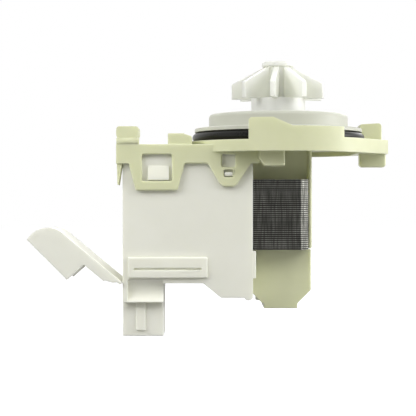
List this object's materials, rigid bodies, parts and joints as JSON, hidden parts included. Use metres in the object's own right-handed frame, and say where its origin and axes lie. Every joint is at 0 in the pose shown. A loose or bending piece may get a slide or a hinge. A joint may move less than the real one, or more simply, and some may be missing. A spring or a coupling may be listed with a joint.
{
  "type": "drain pump",
  "caption": "dishwasher drain pump: synchronous motor with covered coils and a flap over its connector, round flange with seal ring, open radial-blade impeller",
  "frame": {"origin": "on the rotor axis, at the flange seat face that the seal ring lies on", "axes": "+Z along the rotor axis to the impeller, -X to the coil cover and connector, -Y to the front as pictured"},
  "size_m": [0.141, 0.075, 0.1075],
  "materials": {
    "housing_plastic": "cream moulded thermoplastic, satin",
    "cover_plastic": "off-white moulded thermoplastic, satin",
    "plate_plastic": "light grey moulded thermoplastic",
    "impeller_plastic": "natural translucent polypropylene",
    "rotor_plastic": "natural glass-filled thermoplastic",
    "seal_rubber": "black synthetic rubber",
    "bearing_carbon": "dark carbon bush",
    "ceramic": "white ceramic",
    "shaft_steel": "ground stainless steel",
    "magnet_ferrite": "sintered ferrite",
    "core_steel": "stamped electrical steel sheets",
    "bobbin_plastic": "dark moulded bobbin plastic",
    "winding_copper": "enamelled copper wire",
    "cutout_case": "black moulded case",
    "terminal_brass": "tinned brass"
  },
  "bodies": {
    "motor": {"rotor_housing": "housing_plastic", "rear_cap": "housing_plastic", "coil_cover": "cover_plastic", "bearing_plate": "plate_plastic", "o_ring": "seal_rubber", "front_bearing_cup": "seal_rubber", "rear_bearing_cup": "seal_rubber", "front_bearing": "bearing_carbon", "rear_bearing": "bearing_carbon", "stator_laminations": "core_steel", "front_bobbin": "bobbin_plastic", "rear_bobbin": "bobbin_plastic", "front_winding": "winding_copper", "rear_winding": "winding_copper", "thermal_cutout": "cutout_case", "terminal_pins": "terminal_brass"},
    "rotor": {"rotor_shaft": "shaft_steel", "rotor_core": "rotor_plastic", "rotor_magnet": "magnet_ferrite", "front_thrust_washer": "ceramic", "rear_thrust_washer": "ceramic", "drive_dog": "rotor_plastic"},
    "impeller": {"impeller": "impeller_plastic", "clutch_lid": "impeller_plastic", "stop_buffer": "seal_rubber"},
    "flap": {"connector_flap": "cover_plastic"}
  },
  "joints": [
    {"name": "rotor_spin", "type": "hinge", "parent": "motor", "child": "rotor", "pos_m": [0, 0, -0.028], "axis": [0, 0, 1], "continuous": true},
    {"name": "impeller_free_play", "type": "hinge", "parent": "rotor", "child": "impeller", "pos_m": [0, 0, 0.02], "axis": [0, 0, 1], "range_deg": [-120, 120]},
    {"name": "flap_hinge", "type": "hinge", "parent": "motor", "child": "flap", "pos_m": [-0.0617, -0.0124, -0.0546], "axis": [0, -1, 0], "range_deg": [-20, 129], "stiffness_Nm_per_rad": 0.05}
  ]
}
